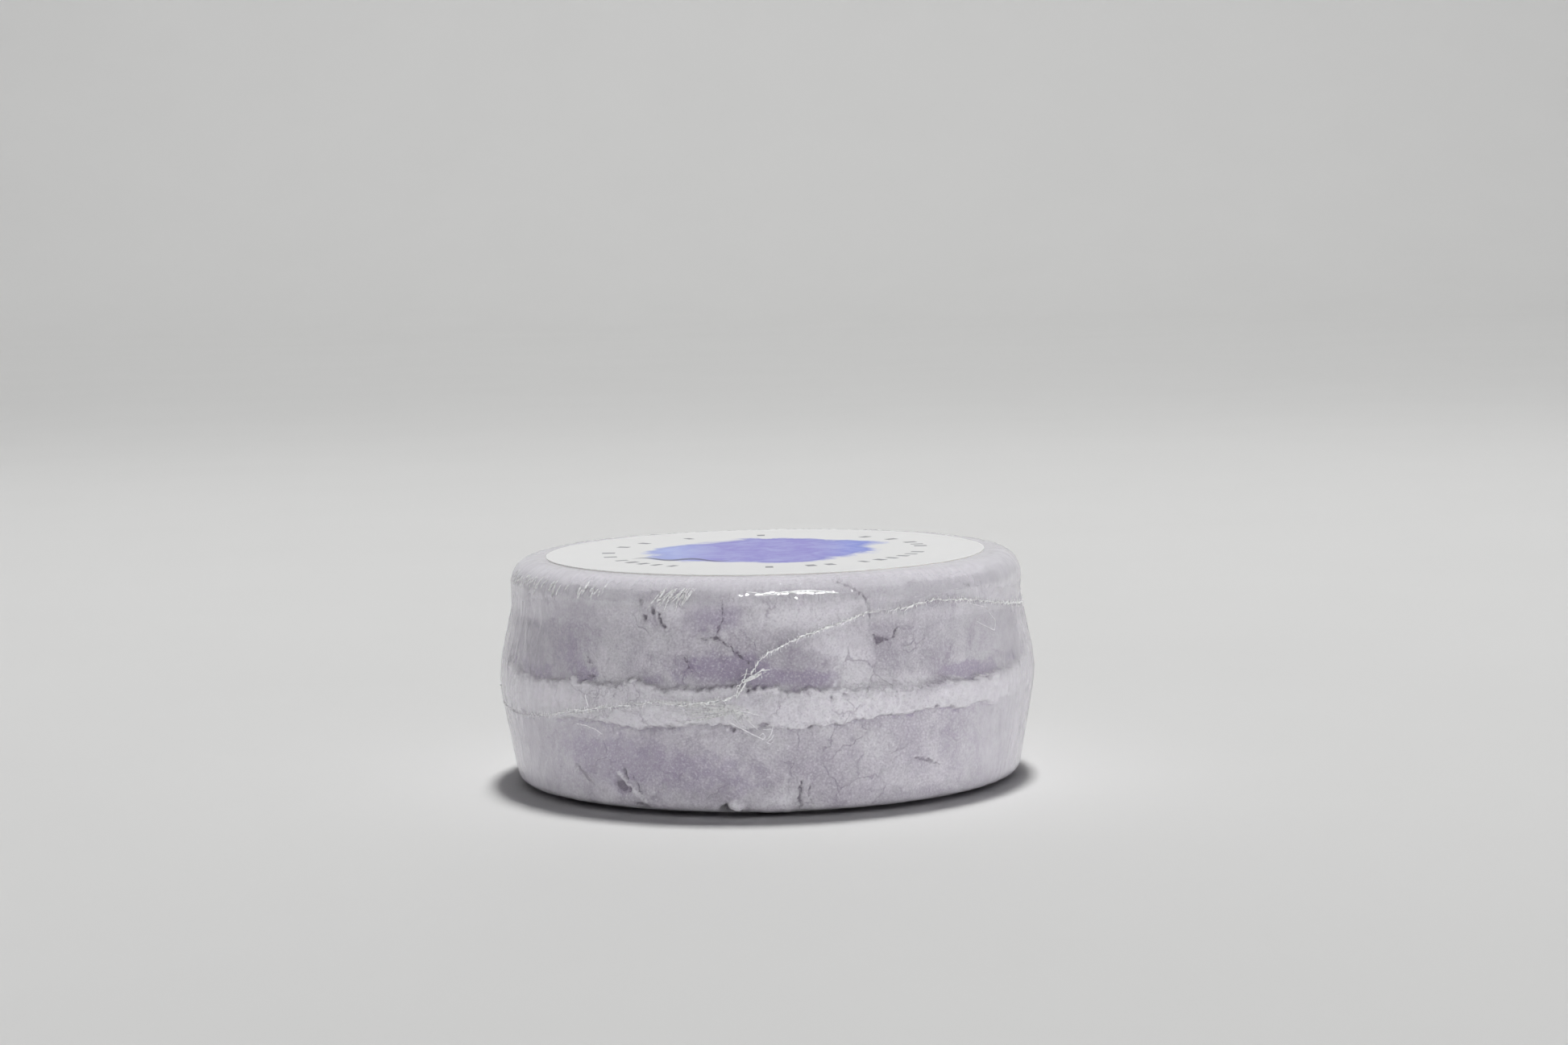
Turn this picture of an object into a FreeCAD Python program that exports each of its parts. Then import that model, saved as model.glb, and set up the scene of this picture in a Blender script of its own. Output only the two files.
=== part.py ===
# Shrink-wrapped shaving soap puck, in millimetres, standing on the XY plane with +Z up.
#
# The soap is one pressed cake with a raised band round its middle, where the press's two dies
# met its ring. Clear shrink film surrounds it as two webs that are welded together along a
# slanting line. The four corners of the welded film have shrunk to small ears on that weld.
# A round paper label is stuck on the film's top and another on its base.
import FreeCAD, Part
import os
import Sketcher

DIMENSIONS = {
    # soap
    "soap_radius": 29.4,
    "soap_foot_radius": 28.9,
    "soap_height": 25.7,
    "shoulder_round": 2.7,
    "foot_round": 1.0,
    "band_rise": 12.05,  # middle of the band, above the soap's base
    "band_radius": 30.65,
    "band_height": 4.5,
    "band_round": 0.7,
    # shrink film
    "film_wall": 0.05,
    "film_gap": 0.02,
    "film_foot_radius": 29.1,
    "belt_radius": 31.0,  # where the film is stretched over the middle of the band
    "belt_edge_radius": 30.75,
    "neck_rise": 20.3,  # where the film leaves the soap's side, above the soap's base
    # weld between the two webs
    "seam_rise": 14.8,  # on the axis, above the soap's base
    "seam_slope": 0.176,  # rise per unit of +X
    "seam_reach": 40.0,  # half the width of the slanting cuts, past the film all round
    "bead_width": 0.35,
    "bead_rise": 0.15,
    "ear_length": 2.4,
    "ear_root": 0.5,  # height of the ear where it starts
    "ear_tip": 1.1,  # and where it ends
    "ear_climb": 0.6,  # how far the lower edge of the tip lies above that of the root
    "ear_wall": 0.12,
    # labels
    "label_radius": 25.4,
    "label_paper": 0.10,
    "label_glue": 0.03,
}

# Heights that follow from the stack of label, glue, film and soap.
FILM_BASE = "(D.label_paper + D.label_glue)"
SOAP_BASE = f"({FILM_BASE} + D.film_wall + D.film_gap)"
SOAP_TOP = f"({SOAP_BASE} + D.soap_height)"
FILM_TOP = f"({SOAP_TOP} + D.film_gap + D.film_wall)"
BAND_MIDDLE = f"({SOAP_BASE} + D.band_rise)"
BAND_LOW = f"({BAND_MIDDLE} - D.band_height / 2)"
BAND_HIGH = f"({BAND_MIDDLE} + D.band_height / 2)"
NECK = f"({SOAP_BASE} + D.neck_rise)"
SEAM = f"({SOAP_BASE} + D.seam_rise)"
FILM_NECK_RADIUS = "(D.soap_radius + D.film_gap + D.film_wall)"

# The film's sloping sides below and above the band, as their lower and upper corners.
LOW_SIDE = (("D.film_foot_radius", FILM_BASE), ("D.belt_edge_radius", BAND_LOW))
HIGH_SIDE = (("D.belt_edge_radius", BAND_HIGH), (FILM_NECK_RADIUS, NECK))
# For each ear, the degrees from -Y towards +X at which it starts, the side that it stands on,
# and the edge of the bead there that stands out furthest: its lower (-1) or upper (1) one.
EARS = {
    "front": (-4, HIGH_SIDE, -1),
    "right": (90, HIGH_SIDE, -1),
    "back": (180, HIGH_SIDE, -1),
    "left": (-90, LOW_SIDE, 1),
}

CLOSE = 1e-4  # how exactly an edge has to lie where it is looked for

doc = FreeCAD.newDocument("soap_puck")
sheet = doc.addObject("Spreadsheet::Sheet", "D")


def fill_sheet():
    for row, (alias, value) in enumerate(DIMENSIONS.items(), start=1):
        sheet.set(f"A{row}", alias)
        sheet.set(f"B{row}", str(value))
        sheet.setAlias(f"B{row}", alias)
    doc.recompute()


def value_of(expression):
    return float(sheet.evalExpression(expression.replace("D.", "")))


def new_body(label):
    body = doc.addObject("PartDesign::Body", label)
    body.Label = label
    return body


def sketch_in(body, name):
    """An empty sketch on the body's XZ plane, its X along +X and its Y along +Z."""
    sketch = body.newObject("Sketcher::SketchObject", name)
    plane = next(f for f in body.Origin.OriginFeatures if f.Role == "XZ_Plane")
    sketch.AttachmentSupport = (plane, [""])
    sketch.MapMode = "FlatFace"
    return sketch


def outline(body, name, corners):
    """A closed straight-sided sketch, each corner a pair of expressions bound to the sheet."""
    sketch = sketch_in(body, name)
    places = [FreeCAD.Vector(value_of(x), value_of(y), 0) for x, y in corners]
    count = len(places)
    for i in range(count):
        sketch.addGeometry(Part.LineSegment(places[i], places[(i + 1) % count]))
    for i in range(count):
        sketch.addConstraint(Sketcher.Constraint("Coincident", i, 2, (i + 1) % count, 1))
    for i, pair in enumerate(corners):
        for kind, axis, expression in zip(("DistanceX", "DistanceY"), (-2, -1), pair):
            if expression == "0":  # on the axis itself, where no distance can be set
                sketch.addConstraint(Sketcher.Constraint("PointOnObject", i, 1, axis))
                continue
            distance = value_of(expression)
            index = sketch.addConstraint(Sketcher.Constraint(kind, -1, 1, i, 1, distance))
            sketch.renameConstraint(index, f"{kind}_{i}")
            sketch.setExpression(f"Constraints.{kind}_{i}", expression)
    return sketch


def turned(body, sketch, kind="Revolution"):
    feature = body.newObject(f"PartDesign::{kind}", f"{sketch.Name}_{kind}")
    feature.Profile = sketch
    feature.ReferenceAxis = (sketch, ["V_Axis"])
    feature.Angle = 360
    doc.recompute()
    return feature


def cut_through(body, sketch):
    feature = body.newObject("PartDesign::Pocket", f"{sketch.Name}_Pocket")
    feature.Profile = sketch
    feature.Type = "ThroughAll"
    feature.Midplane = True
    doc.recompute()
    return feature


def rounded(body, base, radius, height, size):
    """Rounds the circular edge of that radius and height, all given as expressions."""
    wanted_radius, wanted_height = value_of(radius), value_of(height)
    names = [
        f"Edge{i}"
        for i, edge in enumerate(base.Shape.Edges, start=1)
        if isinstance(edge.Curve, Part.Circle)
        and abs(edge.Curve.Radius - wanted_radius) < CLOSE
        and abs(edge.Curve.Center.z - wanted_height) < CLOSE
    ]
    feature = body.newObject("PartDesign::Fillet", f"{base.Name}_Round")
    feature.Base = (base, names)
    feature.setExpression("Radius", size)
    doc.recompute()
    return feature


def between(height, low, high):
    """The radius at a height, on the straight side between two corners of an outline."""
    (low_radius, low_height), (high_radius, high_height) = low, high
    share = f"({height} - {low_height}) / ({high_height} - {low_height})"
    return f"({low_radius} + ({high_radius} - {low_radius}) * {share})"


def soap_cake():
    """The pressed cake: its side tapers to the foot and is straight above the band."""
    foot_edge = ("D.soap_foot_radius", SOAP_BASE)
    shoulder_edge = ("D.soap_radius", SOAP_TOP)
    band_edges = [("D.band_radius", BAND_LOW), ("D.band_radius", BAND_HIGH)]
    under_band = between(BAND_LOW, foot_edge, ("D.soap_radius", BAND_MIDDLE))
    corners = [
        ("0", SOAP_BASE),
        foot_edge,
        (under_band, BAND_LOW),
        *band_edges,
        ("D.soap_radius", BAND_HIGH),
        shoulder_edge,
        ("0", SOAP_TOP),
    ]
    body = new_body("soap_cake")
    cake = turned(body, outline(body, "cake_profile", corners))
    cake = rounded(body, cake, *foot_edge, "D.foot_round")
    cake = rounded(body, cake, *shoulder_edge, "D.shoulder_round")
    for edge in band_edges:
        cake = rounded(body, cake, *edge, "D.band_round")
    return body


def film_outline(out="0", trim="0"):
    """The film's outer side from the base up, moved out and its flat ends moved in."""
    return [
        ("0", f"{FILM_BASE} + {trim}"),
        (f"D.film_foot_radius + {out}", f"{FILM_BASE} + {trim}"),
        (f"D.belt_edge_radius + {out}", BAND_LOW),
        (f"D.belt_radius + {out}", BAND_MIDDLE),
        (f"D.belt_edge_radius + {out}", BAND_HIGH),
        (f"{FILM_NECK_RADIUS} + {out}", NECK),
        (f"{FILM_NECK_RADIUS} + {out}", f"{FILM_TOP} - {trim}"),
        ("0", f"{FILM_TOP} - {trim}"),
    ]


def seam_line(side, lift="0"):
    """A point of the slanting seam, at one end of the cuts' reach, lifted by an expression."""
    return (
        f"{side} * D.seam_reach",
        f"{SEAM} + {side} * D.seam_reach * D.seam_slope + {lift}",
    )


def beside_seam(direction, lift="0"):
    """Everything above (1) or below (-1) the slanting seam, as an outline to cut away."""
    far = f"{SEAM} + {direction} * D.seam_reach"
    return [
        seam_line(-1, lift),
        seam_line(1, lift),
        ("D.seam_reach", far),
        ("-1 * D.seam_reach", far),
    ]


def wrapped_shape(label, inset="0"):
    """The film's outer shape as one solid, or what it encloses when moved in by its wall."""
    body = new_body(label)
    shape = turned(body, outline(body, f"{label}_profile", film_outline(f"-1 * {inset}", inset)))
    shoulder = f"D.shoulder_round + D.film_gap + D.film_wall - {inset}"
    foot = f"D.foot_round + D.film_gap + D.film_wall - {inset}"
    neck_edge = (f"{FILM_NECK_RADIUS} - {inset}", f"{FILM_TOP} - {inset}")
    foot_edge = (f"D.film_foot_radius - {inset}", f"{FILM_BASE} + {inset}")
    rounded(body, rounded(body, shape, *neck_edge, shoulder), *foot_edge, foot)
    return body


def combined(kind, label, base, tool):
    result = doc.addObject(f"Part::{kind}", label)
    result.Base = base
    result.Tool = tool
    return result


def film_webs():
    """The hollow wrap, parted along the seam into its upper and lower webs."""
    outside = wrapped_shape("wrap_outside")
    inside = wrapped_shape("wrap_inside", "D.film_wall")
    wrap = combined("Cut", "wrap", outside, inside)
    above_seam = new_body("above_seam")
    pad = above_seam.newObject("PartDesign::Pad", "above_seam_pad")
    pad.Profile = outline(above_seam, "above_seam_outline", beside_seam(1))
    pad.setExpression("Length", "2 * D.seam_reach")
    pad.Midplane = True
    doc.recompute()
    return [
        combined("Common", "film_upper_web", wrap, above_seam),
        combined("Cut", "film_lower_web", wrap, above_seam),
    ]


def weld_bead():
    """The ridge of melted film that stands out along the seam."""
    body = new_body("film_weld_bead")
    turned(body, outline(body, "bead_profile", film_outline("D.bead_rise")))
    half = "D.bead_width / 2"
    cut_through(body, outline(body, "bead_above", beside_seam(1, half)))
    cut_through(body, outline(body, "bead_below", beside_seam(-1, f"-1 * {half}")))
    turned(body, outline(body, "bead_inside", film_outline()), "Groove")
    return body


def film_ear(name, azimuth, side, bead_edge):
    """One corner of the welded film, shrunk to a small flap that stands on the bead."""
    body = new_body(f"film_ear_{name}")
    corners = [
        ("0", "0"),
        ("D.ear_length", "D.ear_climb"),
        ("D.ear_length", "D.ear_climb + D.ear_tip"),
        ("0", "D.ear_root"),
    ]
    pad = body.newObject("PartDesign::Pad", f"ear_{name}_pad")
    pad.Profile = outline(body, f"ear_{name}_outline", corners)
    pad.setExpression("Length", "D.ear_wall")
    seam = f"({SEAM} + D.belt_edge_radius * sin({azimuth} deg) * D.seam_slope)"
    fullest = f"({seam} + {bead_edge} * D.bead_width / 2)"
    seat = f"({between(fullest, *side)} + D.bead_rise)"
    upright = FreeCAD.Vector(0, 0, 1)
    body.Placement = FreeCAD.Placement(FreeCAD.Vector(), FreeCAD.Rotation(upright, azimuth))
    body.setExpression(".Placement.Base.x", f"{seat} * sin({azimuth} deg)")
    body.setExpression(".Placement.Base.y", f"-1 * {seat} * cos({azimuth} deg)")
    body.setExpression(".Placement.Base.z", f"{seam} - D.ear_root / 2")
    return body


def disc(label, thickness, height):
    piece = doc.addObject("Part::Cylinder", label)
    piece.Label = label
    piece.setExpression("Radius", "D.label_radius")
    piece.setExpression("Height", thickness)
    piece.setExpression(".Placement.Base.z", height)
    return piece


def labels():
    return [
        disc("base_label_paper", "D.label_paper", "0"),
        disc("base_label_glue", "D.label_glue", "D.label_paper"),
        disc("top_label_glue", "D.label_glue", FILM_TOP),
        disc("top_label_paper", "D.label_paper", f"{FILM_TOP} + D.label_glue"),
    ]


def check(pieces):
    doc.recompute()
    for item in doc.Objects:
        if "Invalid" in item.State or "Error" in item.State:
            raise RuntimeError(f"{item.Label} failed: {item.State}")
    for piece in pieces:
        shape = piece.Shape
        if shape.isNull() or not shape.isValid() or shape.Volume <= 0:
            raise RuntimeError(f"{piece.Label} has no valid solid")
        print(f"{piece.Label}: {len(shape.Solids)} solid, {shape.Volume:.2f} mm3")


def export(pieces):
    os.makedirs("parts", exist_ok=True)
    for piece in pieces:
        piece.Shape.exportStep(f"parts/{piece.Label}.step")


fill_sheet()
sub_parts = [
    soap_cake(),
    *film_webs(),
    weld_bead(),
    *(film_ear(name, *place) for name, place in EARS.items()),
    *labels(),
]
check(sub_parts)
export(sub_parts)
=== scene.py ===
# The looks of a shaving soap puck in clear shrink film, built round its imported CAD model.
#
# Lengths are in millimetres until a mesh is made, and MM turns them into metres. A place on
# the puck's side is (azimuth, height): degrees from -Y towards +X, and millimetres above the
# surface that the puck stands on. Relief is how far a surface stands out of its plain profile.
#
# Where the features at the front lie was picked out in a photo of a puck and turned into
# azimuth and height by a program that knew the camera's place. Many of those numbers stand
# here unchanged. The features elsewhere are made up.
import math

import bpy
import numpy as np
from mathutils import Euler, Matrix, Vector, noise


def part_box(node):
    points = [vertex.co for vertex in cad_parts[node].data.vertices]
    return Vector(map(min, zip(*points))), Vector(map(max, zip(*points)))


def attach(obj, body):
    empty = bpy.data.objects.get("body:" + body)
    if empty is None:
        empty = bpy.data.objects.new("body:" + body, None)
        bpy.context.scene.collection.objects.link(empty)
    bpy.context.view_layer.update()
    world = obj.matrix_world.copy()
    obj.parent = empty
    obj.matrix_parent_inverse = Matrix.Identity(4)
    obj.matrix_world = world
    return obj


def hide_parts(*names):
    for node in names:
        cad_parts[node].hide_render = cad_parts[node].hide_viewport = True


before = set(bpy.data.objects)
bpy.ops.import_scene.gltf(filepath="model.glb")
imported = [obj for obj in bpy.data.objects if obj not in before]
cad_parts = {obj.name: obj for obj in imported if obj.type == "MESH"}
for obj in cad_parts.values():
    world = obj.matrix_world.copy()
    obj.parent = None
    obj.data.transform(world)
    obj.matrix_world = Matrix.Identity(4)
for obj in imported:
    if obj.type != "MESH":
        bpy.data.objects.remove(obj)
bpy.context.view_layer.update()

MM = 0.001
TURN = 360.0


def corners_mm(node):
    low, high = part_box(node)
    return np.array(low) / MM, np.array(high) / MM


# ---------------------------------------------------------------- sizes, from the CAD model
SOAP_LOW, SOAP_HIGH = corners_mm("soap_cake")
UPPER_HIGH = corners_mm("film_upper_web")[1]
LOWER_LOW, LOWER_HIGH = corners_mm("film_lower_web")
SOAP_BASE = SOAP_LOW[2]
SOAP_TOP = SOAP_HIGH[2]
FILM_BASE = LOWER_LOW[2]
FILM_TOP = UPPER_HIGH[2]
BAND_RADIUS = SOAP_HIGH[0]
BAND_PROUD = 1.25
WALL_RADIUS = BAND_RADIUS - BAND_PROUD
FOOT_RADIUS = WALL_RADIUS - 0.5
BELT_RADIUS = LOWER_HIGH[0]
SHOULDER_ROUND = 2.7
FOOT_ROUND = 1.0
REST_RADIUS = 25.7  # outside this the underside lifts off the floor, though not in the CAD
REST_ROUND = 1.0
FOOT_LIFT = 0.5
FILM_GAP = SOAP_BASE - FILM_BASE  # between the soap and the film's outer side, where they touch
NECK_HEIGHT = 20.5  # where the film leaves the soap's side above the band
BELT_LOW, BELT_MIDDLE, BELT_HIGH = 10.0, 12.25, 14.5
TORN_EDGES = (BELT_LOW + 0.2, BELT_HIGH - 0.3)
TORN_REACH = 0.9  # the band's edges wander this far
SMEAR_AZIMUTH, SMEAR_WIDTH = 27, 13  # where the band's top is smeared into the wall

# ---------------------------------------------------------------- features, by (azimuth, height)
BAND_TOP = [(-180, 14.2), (-60, 14.0), (-40, 14.4), (-28, 14.6), (-22, 14.1), (0, 14.3),
            (12, 14.1), (40, 13.4), (60, 13.6), (120, 14.3), (180, 14.2)]
BAND_BOTTOM = [(-180, 10.2), (-60, 9.8), (-40, 10.3), (-22, 9.9), (-12, 10.5), (-7, 9.9),
               (10, 9.9), (24, 10.7), (50, 10.6), (120, 10.0), (180, 10.2)]
# Cracks and gouges: the points of each, its half width and depth. Slivers have a negative one.
CRACKS = [
    ([(-13.8, 19.5), (-10.8, 19.6), (-8.7, 18.9), (-5.2, 17.3), (-3.7, 16.9)], 0.14, 0.30),
    ([(-10.8, 19.6), (-10.0, 20.9), (-9.3, 22.5), (-8.9, 24.1)], 0.09, 0.14),
    ([(22.8, 21.1), (22.0, 22.9), (19.6, 24.4), (15.5, 25.3)], 0.13, 0.18),
    ([(22.8, 19.4), (24.9, 18.7), (28.0, 19.0), (29.0, 20.0)], 0.16, 0.30),
    ([(7.0, 3.9), (6.5, 2.9), (6.1, 2.1), (6.6, 1.1), (5.6, 0.4)], 0.12, 0.35),
    ([(-47.4, 4.8), (-44.5, 3.6), (-42.2, 2.5)], 0.22, 0.25),
    ([(-33.4, 5.0), (-33.0, 4.3), (-32.3, 3.6)], 0.20, 0.60),
    ([(-23.4, 22.2), (-23.1, 21.4), (-22.8, 20.6)], 0.18, 0.60),
    ([(-31.5, 4.6), (-29.6, 2.9), (-28.4, 1.6)], 0.12, 0.18),
    ([(33.0, 5.4), (36.0, 5.0), (40.3, 4.3)], 0.18, 0.18),
    ([(-34.9, 4.7), (-32.9, 3.3), (-30.4, 2.3), (-27.6, 1.4)], 0.26, -0.30),
    ([(-17.4, 17.6), (-16.6, 16.6), (-15.2, 15.8)], 0.10, 0.14),
    ([(-43.0, 17.6), (-41.0, 16.0), (-41.6, 14.8)], 0.12, 0.12),
    ([(9.0, 3.9), (8.2, 2.2), (9.4, 1.2)], 0.08, 0.10),
    ([(46.0, 24.6), (50.5, 23.6), (52.0, 22.8)], 0.10, 0.12),
    ([(100, 21.0), (104, 19.2), (103, 17.4), (107, 16.0)], 0.13, 0.25),
    ([(142, 5.8), (147, 4.2), (153, 3.6)], 0.14, 0.28),
    ([(-102, 7.4), (-106, 5.2), (-104, 2.6)], 0.13, 0.26),
    ([(-150, 22.6), (-146, 20.4), (-141, 19.4), (-137, 17.2)], 0.14, 0.28),
    ([(171, 20.8), (176, 19.6), (179, 17.8)], 0.12, 0.24),
]
# Pits and chips: azimuth, height, half width, half height and depth. Lumps have a negative one.
PITS = [
    (-27.2, 21.7, 0.40, 0.42, 0.70), (-25.0, 22.4, 0.32, 0.45, 0.70),
    (-22.2, 20.8, 0.32, 0.38, 0.40), (-28.0, 23.4, 0.50, 0.40, 0.40),
    (-10.8, 19.6, 0.35, 0.22, 0.40), (24.6, 18.8, 0.70, 0.55, 0.45),
    (-34.6, 2.9, 0.80, 0.70, 0.75), (-32.6, 2.7, 0.75, 0.40, 0.55),
    (-29.7, 0.8, 0.80, 0.45, 0.50), (-9.9, 0.5, 0.55, 0.95, 1.10),
    (-7.6, 0.0, 1.50, 0.55, 1.20), (-8.1, 1.45, 0.60, 0.45, -0.30),
    (-6.7, 1.25, 0.50, 0.40, -0.28), (3.4, 1.9, 1.3, 0.9, -0.18), (-7.3, 9.7, 0.40, 0.25, 0.50),
    (13.1, 12.9, 0.25, 0.45, 0.35), (-1.2, 10.3, 0.90, 0.28, 0.45),
    (37.8, 10.9, 0.45, 0.35, 0.60), (8.9, 9.8, 0.40, 0.25, 0.45),
    (-41.3, 14.8, 0.60, 0.25, 0.30), (83, 3.2, 0.8, 0.5, 0.5), (128, 20.6, 0.5, 0.5, 0.5),
    (156, 10.2, 0.6, 0.3, 0.5), (-78, 20.5, 0.5, 0.4, 0.4), (-122, 0.6, 1.2, 0.7, 0.9),
    (-165, 6.2, 0.7, 0.6, 0.5), (112, 0.4, 1.0, 0.6, 0.8), (-131, 14.6, 0.7, 0.3, 0.4),
]
# Soft patches of colour: azimuth, height, half width, half height and strength.
PALE = [
    (9.0, 22.6, 5.0, 1.6, 0.5), (12.0, 18.6, 3.2, 1.6, 0.6), (19.0, 17.2, 2.4, 3.0, 0.7),
    (11.0, 21.4, 5.5, 2.0, 0.4), (26.0, 14.0, 7.0, 1.2, 0.9), (20.0, 4.5, 6.0, 4.0, 0.25),
    (30.0, 2.8, 4.0, 1.6, 0.25),
    (-19.5, 23.4, 2.2, 1.8, 0.8), (-28.0, 12.8, 10.0, 1.6, 0.45), (-38.0, 1.8, 3.0, 1.6, 0.5),
    (-20.0, 1.6, 4.0, 1.4, 0.4),
    (-16.0, 12.4, 7.0, 1.6, 0.60), (0.0, 1.6, 5.0, 1.6, 0.5), (62.0, 18.0, 5.0, 5.0, 0.5),
    (140, 21.0, 5.0, 3.0, 0.6),
    (-120, 5.0, 6.0, 3.0, 0.6), (170, 4.0, 6.0, 3.0, 0.5), (-160, 18.0, 4.0, 3.0, 0.5),
]
# Partly the soap's own purple mottling and partly painted shade: the patches along the band's top
# edge and the broad ones low on the side darken it as shade would.
PURPLE_AND_SHADE = [
    (-11.0, 22.4, 4.0, 2.2, 0.9), (-12.0, 16.6, 4.5, 1.6, 0.7), (-4.0, 16.2, 3.0, 1.4, 0.7),
    (5.0, 15.2, 4.0, 0.8, 0.7), (-26.0, 24.2, 2.2, 0.8, 0.6), (-34.4, 2.8, 0.9, 0.9, 0.8),
    (-3.6, 12.9, 1.6, 0.9, 0.8), (46.0, 14.6, 3.0, 0.7, 0.9), (24.0, 23.6, 1.6, 1.6, 0.5),
    (-8.0, 4.5, 5.0, 3.0, 0.42), (-24.0, 5.5, 7.0, 3.0, 0.45), (-38.0, 6.0, 6.0, 3.0, 0.42),
    (-47.0, 17.0, 3.0, 4.0, 0.5), (110, 17.0, 4.0, 2.0, 0.7),
    (48.0, 6.0, 13.0, 5.0, 0.30), (-46.0, 6.5, 7.0, 4.0, 0.35), (-110, 20.0, 4.0, 3.0, 0.7),
    (160, 16.4, 5.0, 1.4, 0.7), (-150, 5.0, 4.0, 3.0, 0.5),
]
# The weld between the film's two webs.
SEAM = [
    (-180, 15.3), (-150, 13.4), (-120, 11.4), (-90, 9.7), (-68, 9.4), (-52.7, 10.1),
    (-44.6, 11.1), (-33.0, 12.0), (-23.0, 12.8), (-17.2, 12.5), (-8.8, 13.2), (-5.8, 13.8),
    (-3.6, 15.7), (-1.7, 17.3), (0.3, 18.1), (7.2, 19.7), (14.2, 20.8), (21.7, 21.9),
    (30.7, 22.1), (38.5, 22.7), (49.6, 22.1), (63.2, 21.0), (90, 19.4), (120, 18.2),
    (150, 16.4), (180, 15.3),
]


# A film corner's threads: points in millimetres right of and above its middle, and half width.
EAR_THREADS = [
    ([(-1.75, -0.15), (-1.0, 0.15), (-0.3, 0.45), (0.25, 0.70)], 0.090),
    ([(-1.6, 0.0), (-0.9, 0.40), (-0.2, 0.78), (0.25, 0.98)], 0.060),
    ([(-0.2, 0.80), (0.25, 1.05), (0.75, 1.10), (1.25, 1.14)], 0.075),
    ([(0.25, 0.70), (0.36, 0.45), (0.30, 0.20)], 0.040),
    ([(-1.7, -0.1), (-1.95, -0.4), (-2.2, -0.7), (-2.35, -1.2), (-2.4, -2.0)], 0.070),
    ([(-1.65, -0.1), (-1.55, 0.3), (-1.40, 0.7), (-1.25, 1.3)], 0.065),
]
EAR_LOOPS = [(-2.2, -0.62, 0.22), (-1.6, 0.02, 0.20), (0.5, 1.1, 0.14)]


# ---------------------------------------------------------------- noise and distances
def cloud(points, size, octaves=3, seed=0):
    """Smooth noise at each point, about -1 to 1, with features of that size."""
    shift = Vector((seed * 17.3, seed * 5.1, seed * 29.7))
    stretch = np.broadcast_to(np.asarray(size, float), (3,))
    flat = (points / stretch).reshape(-1, 3)
    values = [noise.fractal(Vector(p) + shift, 1.0, 2.0, octaves) for p in flat]
    return np.array(values).reshape(points.shape[:-1])


def crumbs(points, size, seed=0):
    """A random height for each crumb, and how near a point is to the edge of its own."""
    shift = Vector((seed * 7.7, seed * 3.9, seed * 11.3))
    heights, edges = [], []
    for p in (points / size).reshape(-1, 3):
        distances, centres = noise.voronoi(Vector(p) + shift)
        heights.append(noise.cell(centres[0] * 3.7))
        edges.append(distances[1] - distances[0])
    shape = points.shape[:-1]
    return np.array(heights).reshape(shape), np.array(edges).reshape(shape)


def smooth(low, high, value):
    """0 below low, 1 above high, and an even rise between. High may lie under low."""
    share = np.clip((value - low) / (high - low), 0, 1)
    return share * share * (3 - 2 * share)


def wrapped(azimuth):
    return (azimuth + TURN / 2) % TURN - TURN / 2


def across(azimuth, place):
    """Millimetres round the side from a place's azimuth."""
    return np.radians(wrapped(azimuth - place)) * WALL_RADIUS


def level(azimuth, line):
    """The height of a line round the side at an azimuth."""
    places, heights = zip(*line)
    return np.interp(wrapped(azimuth), places, heights)


def line_distance(azimuth, height, line):
    """The distance to a line on the side, and how far along the line the nearest point is."""
    nearest = np.full(azimuth.shape, np.inf)
    along = np.zeros(azimuth.shape)
    count = len(line) - 1
    for i, ((azimuth_a, height_a), (azimuth_b, height_b)) in enumerate(zip(line, line[1:])):
        run = np.radians(azimuth_b - azimuth_a) * WALL_RADIUS
        rise = height_b - height_a
        x, y = across(azimuth, azimuth_a), height - height_a
        share = np.clip((x * run + y * rise) / (run * run + rise * rise), 0, 1)
        distance = np.hypot(x - share * run, y - share * rise)
        closer = distance < nearest
        nearest = np.where(closer, distance, nearest)
        along = np.where(closer, (i + share) / count, along)
    return nearest, along


def patches(azimuth, height, places):
    total = np.zeros(azimuth.shape)
    for place_azimuth, place_height, half_width, half_height, strength in places:
        x = across(azimuth, place_azimuth) / half_width
        y = (height - place_height) / half_height
        total += strength * np.exp(-(x * x + y * y))
    return np.clip(total, 0, 1)


# ---------------------------------------------------------------- meshes
def rounded_profile(corners):
    """A fine path through (radius, height, rounding) corners, as radii and heights."""
    places = [np.array(c[:2], float) for c in corners]
    path = [places[0]]
    for i in range(1, len(corners) - 1):
        here, rounding = places[i], corners[i][2]
        back = places[i - 1] - here
        ahead = places[i + 1] - here
        back, ahead = back / np.linalg.norm(back), ahead / np.linalg.norm(ahead)
        opening = math.acos(float(np.clip(back @ ahead, -1, 1)))
        if rounding == 0:
            path.append(here)
            continue
        reach = rounding / math.tan(opening / 2)
        middle = (back + ahead) / np.linalg.norm(back + ahead)
        centre = here + middle * rounding / math.sin(opening / 2)
        start, end = here + back * reach - centre, here + ahead * reach - centre
        sweep = math.pi - opening
        for share in np.linspace(0, 1, 25):
            turned = start * math.sin((1 - share) * sweep) + end * math.sin(share * sweep)
            path.append(centre + turned / math.sin(sweep))
    path.append(places[-1])
    return np.array(path)


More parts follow.
